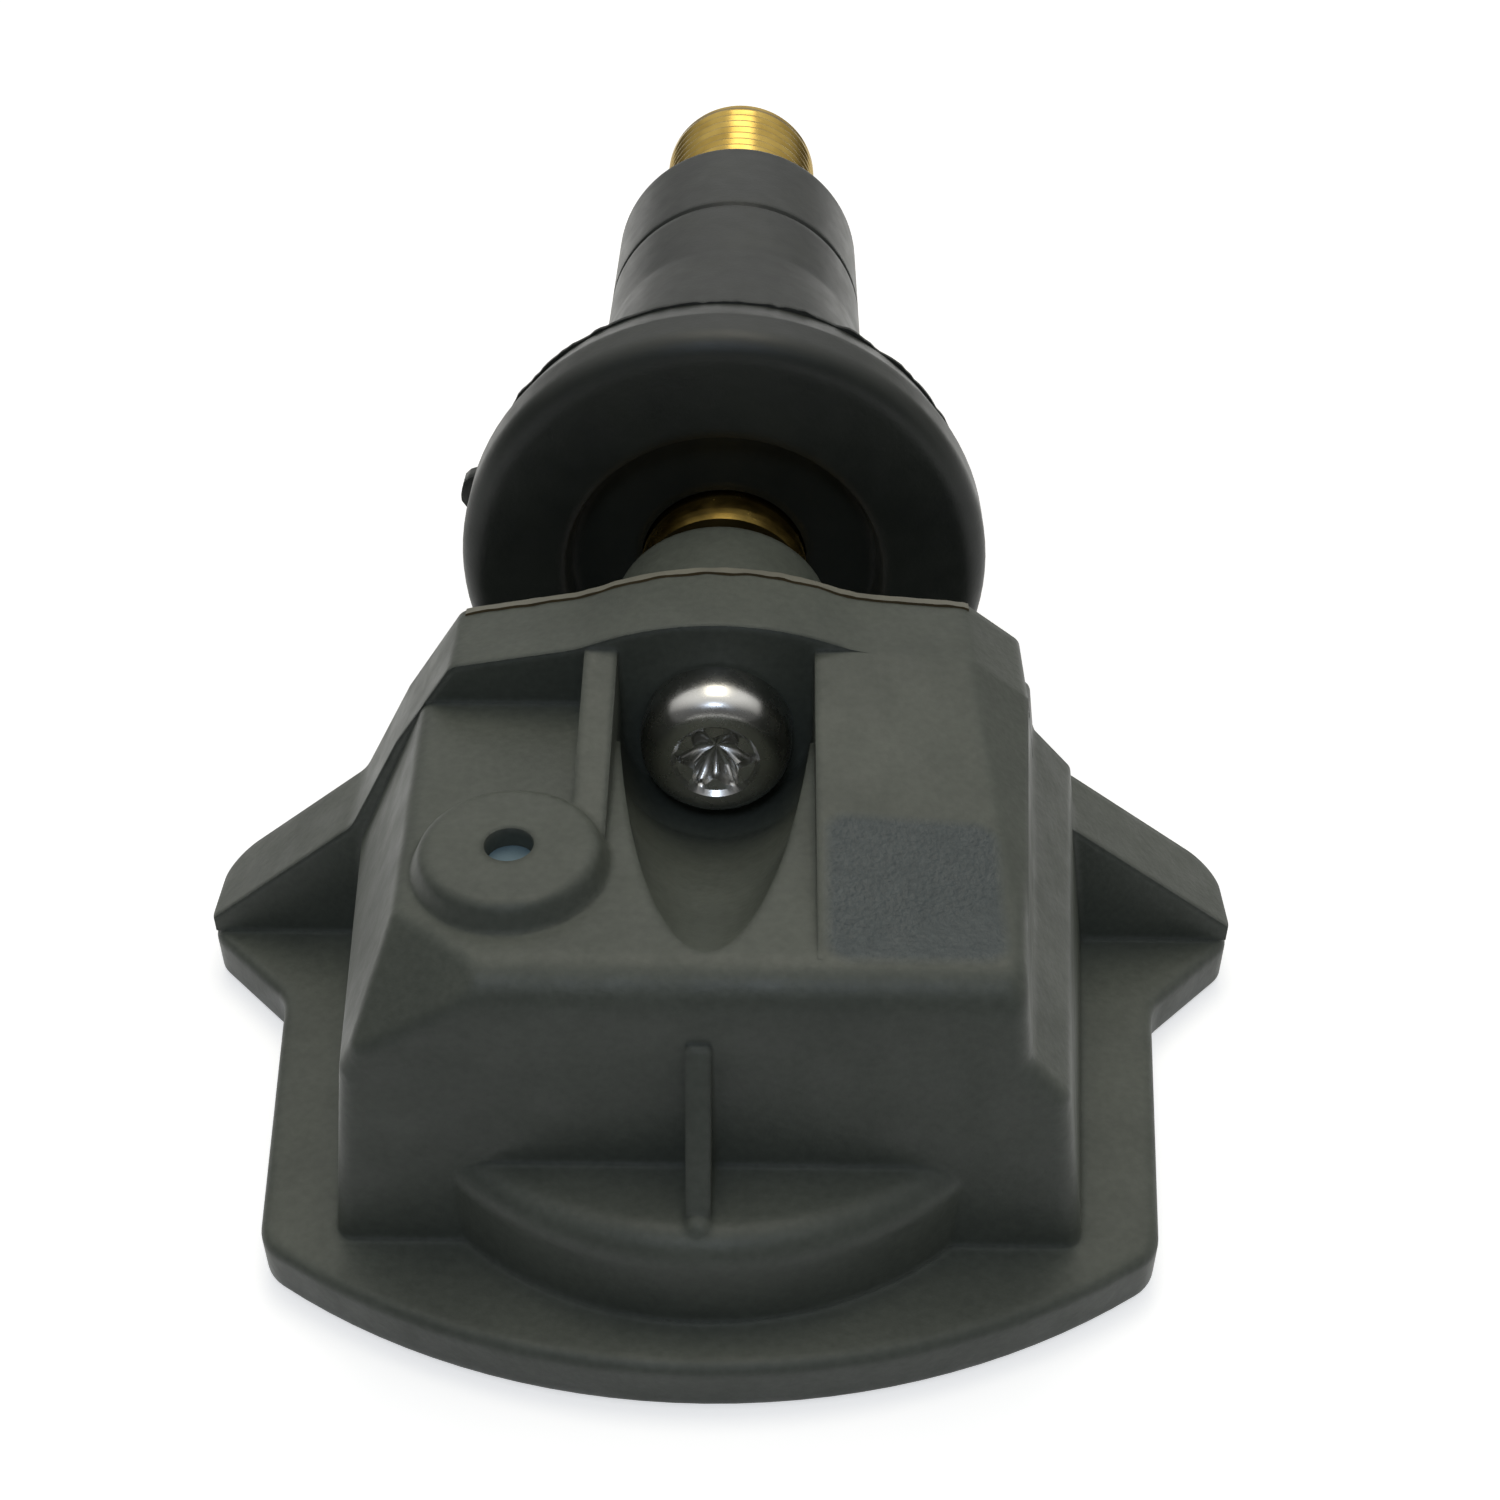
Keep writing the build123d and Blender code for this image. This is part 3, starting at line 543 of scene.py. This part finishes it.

# %% [markdown]
# In the valve core a coil spring of stainless wire lifts the pin and keeps the valve shut.
# The solid holds one coil of fixed length, which the pin's collar would run into when it is pressed.
# A coil is wound here as a mesh instead, over the same length,
# starting with its turn on the barrel's ledge.

# %% Wind the core's spring
spring_low, spring_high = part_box("core_spring")
spring_foot, spring_length = spring_low.y / MM, (spring_high.y - spring_low.y) / MM
wire_radius, wire_sides, coil_turns, steps_a_turn = 0.17, 16, 6, 24
coil_radius = spring_high.x / MM - wire_radius
coil_steps = coil_turns * steps_a_turn
along = Vector((0, 1, 0))
around = [2 * math.pi * side / wire_sides for side in range(wire_sides)]
skin = bmesh.new()
sections = []
for step in range(coil_steps + 1):
    turn = 2 * math.pi * step / steps_a_turn
    outward = Vector((math.cos(turn), 0, math.sin(turn)))
    climb = (spring_length - 2 * wire_radius) * step / coil_steps
    centre = coil_radius * outward + (spring_foot + wire_radius + climb) * along
    spots = [centre + wire_radius * (math.cos(a) * outward + math.sin(a) * along) for a in around]
    sections.append([skin.verts.new(spot * MM) for spot in spots])
bridge(skin, sections, capped=True)
coil = show("wound_spring", skin, stainless)
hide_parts("core_spring")
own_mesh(coil)

# %% [markdown]
# The fixing screw was cold headed and left bright. Its head is a high dome with a countersunk mouth
# round a six-lobe recess. The lobes are a wave with six crests, on the rings inside the recess only,
# so the driver's socket needs no cutting tool. Noise tears them a little, as the punch did.

# %% Turn the fixing screw
seat_y = -15.7
head_radius, head_height, head_side, squareness = screw_high.x / MM, 2.0, 0.45, 0.7
head_chamfer, crown_radius, dome_steps = 0.12, 1.5, 12
mouth_radius, mouth_depth, point_depth = 1.34, 0.16, 1.0
recess = [(1.1, 0.2), (1.06, 0.33), (1.02, 0.46), (0.62, 0.84), (0.3, 0.94)]  # radius and depth
lobe_count, lobe_depth = 6, 0.2
tear_depth, tear_count, tear_change = 0.1, 5, 3.0
screw_sides = 96


def punched(level):
    """Six round lobes for the driver, a little torn by the punch at this level."""

    def lobes(turn):
        across, up = tear_count * math.cos(turn), tear_count * math.sin(turn)
        torn = noise.noise(Vector((across, up, tear_change * level)))
        return lobe_depth * math.cos(lobe_count * turn) + tear_depth * torn

    return lobes


side_y, crown_y = seat_y - head_side, seat_y - head_height
rings = [(0, shank_end), (shank_radius, shank_end), (shank_radius, seat_y)]
rings += [(head_radius - head_chamfer, seat_y), (head_radius, seat_y - head_chamfer)]
for step in range(dome_steps + 1):
    bend = math.radians(90) * step / dome_steps
    radius = crown_radius + (head_radius - crown_radius) * max(math.cos(bend), 0.0) ** squareness
    rings.append((radius, side_y + (crown_y - side_y) * math.sin(bend) ** squareness))
rings += [(mouth_radius, crown_y + mouth_depth)]
for level, (radius, depth) in enumerate(recess):
    rings.append((radius, crown_y + depth, punched(level)))
rings += [(0, crown_y + point_depth)]
screw = show("button_screw", lathe(rings, screw_sides), stainless)
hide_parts("fixing_screw")
print("screw head stands", head_height, "mm from its seat")

# %% [markdown]
# Where two halves of a mould meet, a little material creeps out and leaves a thin fin, called flash.
# The rubber flange has one near its rear edge, torn uneven, and a stub on the left where the
# rubber was fed in. Both are turned on the lathe as well: noise makes the fin ragged,
# and a wave with a single crest makes the stub.

# %% Flash on the rubber flange
flash_y, flash_root, flash_reach, flash_thickness = -2.6, 9.1, 9.6, 0.08
tears = [(0.1, 9), (0.07, 31)]  # how deep, and how closely spaced
stub_y, stub_thickness, stub_root = -3.7, 0.35, 9.5
stub_turn, stub_width, stub_reach, stub_flatness = math.radians(167), math.radians(5.0), 0.85, 4
fin_sides = 240


def ragged(turn):
    """An uneven, torn edge."""
    around = Vector((math.cos(turn), math.sin(turn), 0.0))
    return sum(depth * noise.noise(closeness * around) for depth, closeness in tears)


def stub(turn):
    """One flat-topped rise on the left."""
    return stub_reach * math.exp(-(((turn - stub_turn) / stub_width) ** stub_flatness))


def fin(root, reach, y, thickness, wave):
    """A thin fin whose root lies inside the rubber."""
    low, high = y - thickness, y + thickness
    rings = [(root, low), (reach, low, wave), (reach, high, wave), (root, high), (root, low)]
    return lathe(rings, fin_sides)


flash_skin = fin(flash_root, flash_reach, flash_y, flash_thickness, ragged)
show("flange_flash", flash_skin, epdm)
stub_skin = fin(stub_root, stub_root, stub_y, stub_thickness, stub)
show("feed_stub", stub_skin, epdm)
print("flash reaches", flash_reach, "mm from the axis")

# %% [markdown]
# The housing has its parting line along the wall's rear top edge: a narrow pale lip,
# with a dark brown line down its front. The lip follows the wall, so each station of it
# feels for the wall's top with a ray from above, and noise makes its front and top uneven.

# %% Lip on the wall's parting line
lip_from, lip_to, lip_stations = -8.85, 8.7, 90
lip_rear, lip_width, lip_height, lip_root = -12.3, 0.3, 0.09, 0.15
lip_proud, rear_drop, front_foot = 0.03, 0.03, 0.06
front_face = 3  # of the four faces between two stations
front_wander, front_closeness = 0.09, 1.3
top_wander, top_closeness, top_row = 0.03, 2.1, 5.0
ray_from, downward = 20, Vector((0, 0, -1))
# paler than the housing, because it is thin
lip_plastic = mottled("pbt_flash", "#6E6C60", "#7B796B", rough=0.5, size=0.2, depth=0.01)
# dull dark brown, for the lip's front face
dark_brown_front = mottled("dark_brown_front_line", "#3A2F16", "#4A3B1B", rough=0.6, size=0.2, depth=0.01)
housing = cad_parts["housing"]
skin = bmesh.new()
sections = []
for station in range(lip_stations + 1):
    x = lip_from + (lip_to - lip_from) * station / lip_stations
    above = Vector((x, lip_rear - lip_width / 2, ray_from)) * MM
    _, on_wall, _, _ = housing.ray_cast(above, downward)
    wall_top = on_wall.z / MM
    foot = wall_top - lip_root
    wander = front_wander * noise.noise(Vector((front_closeness * x, 0.0, 0.0)))
    front = lip_rear - lip_width - wander
    wander = top_wander * noise.noise(Vector((top_closeness * x, top_row, 0.0)))
    top = wall_top + lip_height + wander
    rear = lip_rear + lip_proud
    corners = [(rear, foot), (rear, top - rear_drop), (front, top), (front - front_foot, foot)]
    sections.append([skin.verts.new(Vector((x, y, z)) * MM) for y, z in corners])
for number, face in enumerate(bridge(skin, sections, capped=True)):
    face.material_index = 1 if number % len(corners) == front_face else 0
lip = show("parting_lip", skin, lip_plastic)
# the lip's front face is coloured dark brown
lip.data.materials.append(dark_brown_front)
print("lip stations:", len(sections))

# %% [markdown]
# The vent in the boss is closed by a membrane of stretched PTFE, which lets air through and keeps
# water out. Only a disc of it shows, a little way down the hole, so a short lathe piece is enough.
# The soft seal below the vent stands on the same upright axis and gives its place.

# %% Membrane in the vent
port_low, port_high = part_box("port_seal")
vent_x, vent_y = (port_low.x + port_high.x) / 2 / MM, (port_low.y + port_high.y) / 2 / MM
membrane_top, membrane_thickness, membrane_radius, membrane_sides = 1.05, 0.2, 0.76, 48
# matt; painted shade: its colour is the blue-grey that it shows in the shade of the hole
membrane = mottled("eptfe_membrane_painted_shade", "#5F767F", "#6B828B", rough=0.6, size=0.1, depth=0.004)
rings = [(0, 0), (membrane_radius, 0)]
rings += [(membrane_radius, membrane_thickness), (0, membrane_thickness)]
skin = lathe(rings, membrane_sides)
upright = Matrix.Rotation(math.radians(-90), 3, "X")
bmesh.ops.rotate(skin, verts=skin.verts, matrix=upright)
bmesh.ops.translate(skin, verts=skin.verts, vec=Vector((vent_x, vent_y, membrane_top)) * MM)
show("vent_membrane", skin, membrane)
print("membrane at", round(vent_x, 2), round(vent_y, 2), membrane_top)

# %% [markdown]
# The sensor lies on a pale floor, as on a sheet of paper in a studio. The camera, and rays that are
# mirrored or pass through something clear, see white paper with a glow that lifts it to the background.
# The glow is only part of its light, so the paper keeps the sensor's shadow.
# All other rays see a grey sheet, which throws little light up at the faces near it.

# %% Floor
floor_gap, floor_side = 0.02, 2.0
paper_glow = 0.55
floor_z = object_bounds()[0].z - floor_gap * MM
bpy.ops.mesh.primitive_plane_add(size=floor_side, location=(0, 0, floor_z))
floor = bpy.context.object
floor.name = "floor"
paper, tree, shader = new_material("white_paper", roughness=0.9, emission_color=srgb("#FFFFFF"))
rays = add(tree, "ShaderNodeLightPath").outputs
seen = rays["Is Camera Ray"]
for kind in ("Is Glossy Ray", "Is Transmission Ray"):
    seen = add(tree, "ShaderNodeMath", {"operation": "MAXIMUM"}, {0: seen, 1: rays[kind]}).outputs[0]
sheet = add(
    tree,
    "ShaderNodeMix",
    {"data_type": "RGBA", 6: srgb("#626467"), 7: srgb("#F4F4F2")},
    {0: seen},
)
tree.links.new(sheet.outputs[2], shader.inputs["Base Color"])
glow = add(tree, "ShaderNodeMath", {"operation": "MULTIPLY", 1: paper_glow}, {0: seen})
tree.links.new(glow.outputs[0], shader.inputs["Emission Strength"])
floor.data.materials.append(paper)
print("floor at", round(floor_z / MM, 2), "mm")

# %% [markdown]
# Round the sensor is a dome of light, like a lit ceiling: brightest overhead and a little
# behind the valve, and dim towards the sides. Metal mirrors the whole of it. Other rays see about half,
# which sets the plain light level, and the camera itself sees a white background.

# %% World
brightest = (0, 0.35, 0.937)
dome_edge, dome_full, dome_dim = 0.32, 0.82, 0.14  # cosines of the angle, and the dim side's light
plain_share = 0.54
world = bpy.data.worlds.new("studio")
bpy.context.scene.world = world
world.use_nodes = True
tree = world.node_tree
tree.nodes.clear()
facing = add(
    tree,
    "ShaderNodeVectorMath",
    {"operation": "DOT_PRODUCT", 1: brightest},
    {0: add(tree, "ShaderNodeTexCoord").outputs["Generated"]},
)
dome = add(
    tree,
    "ShaderNodeMapRange",
    {"From Min": dome_edge, "From Max": dome_full, "To Min": dome_dim, "To Max": 1.0},
    {"Value": facing.outputs["Value"]},
)
rays = add(tree, "ShaderNodeLightPath").outputs
mirrored = add(
    tree,
    "ShaderNodeMath",
    {"operation": "MAXIMUM"},
    {0: rays["Is Glossy Ray"], 1: rays["Is Transmission Ray"]},
)
share = add(
    tree,
    "ShaderNodeMapRange",
    {"To Min": plain_share, "To Max": 1.0},
    {"Value": mirrored.outputs[0]},
)
lit = add(
    tree,
    "ShaderNodeMath",
    {"operation": "MULTIPLY"},
    {0: dome.outputs["Result"], 1: share.outputs["Result"]},
)
shown = add(
    tree,
    "ShaderNodeMath",
    {"operation": "MAXIMUM"},
    {0: lit.outputs[0], 1: rays["Is Camera Ray"]},
).outputs[0]
white = add(tree, "ShaderNodeBackground", {"Color": srgb("#FFFFFF")}, {"Strength": shown})
add(tree, "ShaderNodeOutputWorld", {}, {"Surface": white.outputs[0]})
print("made world", world.name)

# %% [markdown]
# Three lamps finish the light. A warm softbox above and behind the valve makes the top faces light
# and leaves the faces towards the camera in shade. A small bluish lamp in front, above the camera,
# draws cool highlights along the edges, and a weak card on the right lifts that flank.

# %% Soft studio light
lamps_look_at = Vector((0, -10, -4))


def softbox(name, place, size, power, hex_colour):
    """An area light of some width and height, placed in millimetres, that looks at the sensor."""
    lamp = bpy.data.lights.new(name, "AREA")
    lamp.color = srgb(hex_colour)[:3]
    lamp.shape = "RECTANGLE"
    lamp.size, lamp.size_y = size[0] * MM, size[1] * MM
    lamp.energy = power
    made = bpy.data.objects.new(name, lamp)
    bpy.context.collection.objects.link(made)
    made.location = Vector(place) * MM
    made.rotation_euler = (lamps_look_at - Vector(place)).to_track_quat("-Z", "Y").to_euler()


softbox("sky_box", (0, 80, 260), size=(110, 170), power=0.185, hex_colour="#FFF8E6")
softbox("front_lamp", (-10, -190, 210), size=(60, 60), power=0.1, hex_colour="#D4E4FF")
softbox("right_card", (260, -40, 60), size=(160, 160), power=0.04, hex_colour="#FFFFFF")

# %% [markdown]
# The photograph was taken close up, from in front of the plate and well above it,
# looking along the valve. The nearness shows: the plate looms and the valve's tip shrinks.
# Circles of a known size in it, such as the cap thread and the screw, tell how near the camera was.

# %% Camera
lens_mm, film_mm = 48.0, 36.0
camera_at = (1.9, -70.26, 42.06)
look_down, look_left = 38.3, 0.8
nearest_mm, furthest_mm = 1, 10000
camera = bpy.data.objects.new("camera", bpy.data.cameras.new("camera"))
bpy.context.collection.objects.link(camera)
camera.data.lens = lens_mm
camera.data.sensor_width = film_mm
camera.data.clip_start = nearest_mm * MM
camera.data.clip_end = furthest_mm * MM
camera.location = Vector(camera_at) * MM
camera.rotation_euler = (math.radians(90 - look_down), 0, math.radians(look_left))
bpy.context.scene.camera = camera
bpy.context.scene.view_settings.view_transform = "Standard"
print("camera at", camera_at)
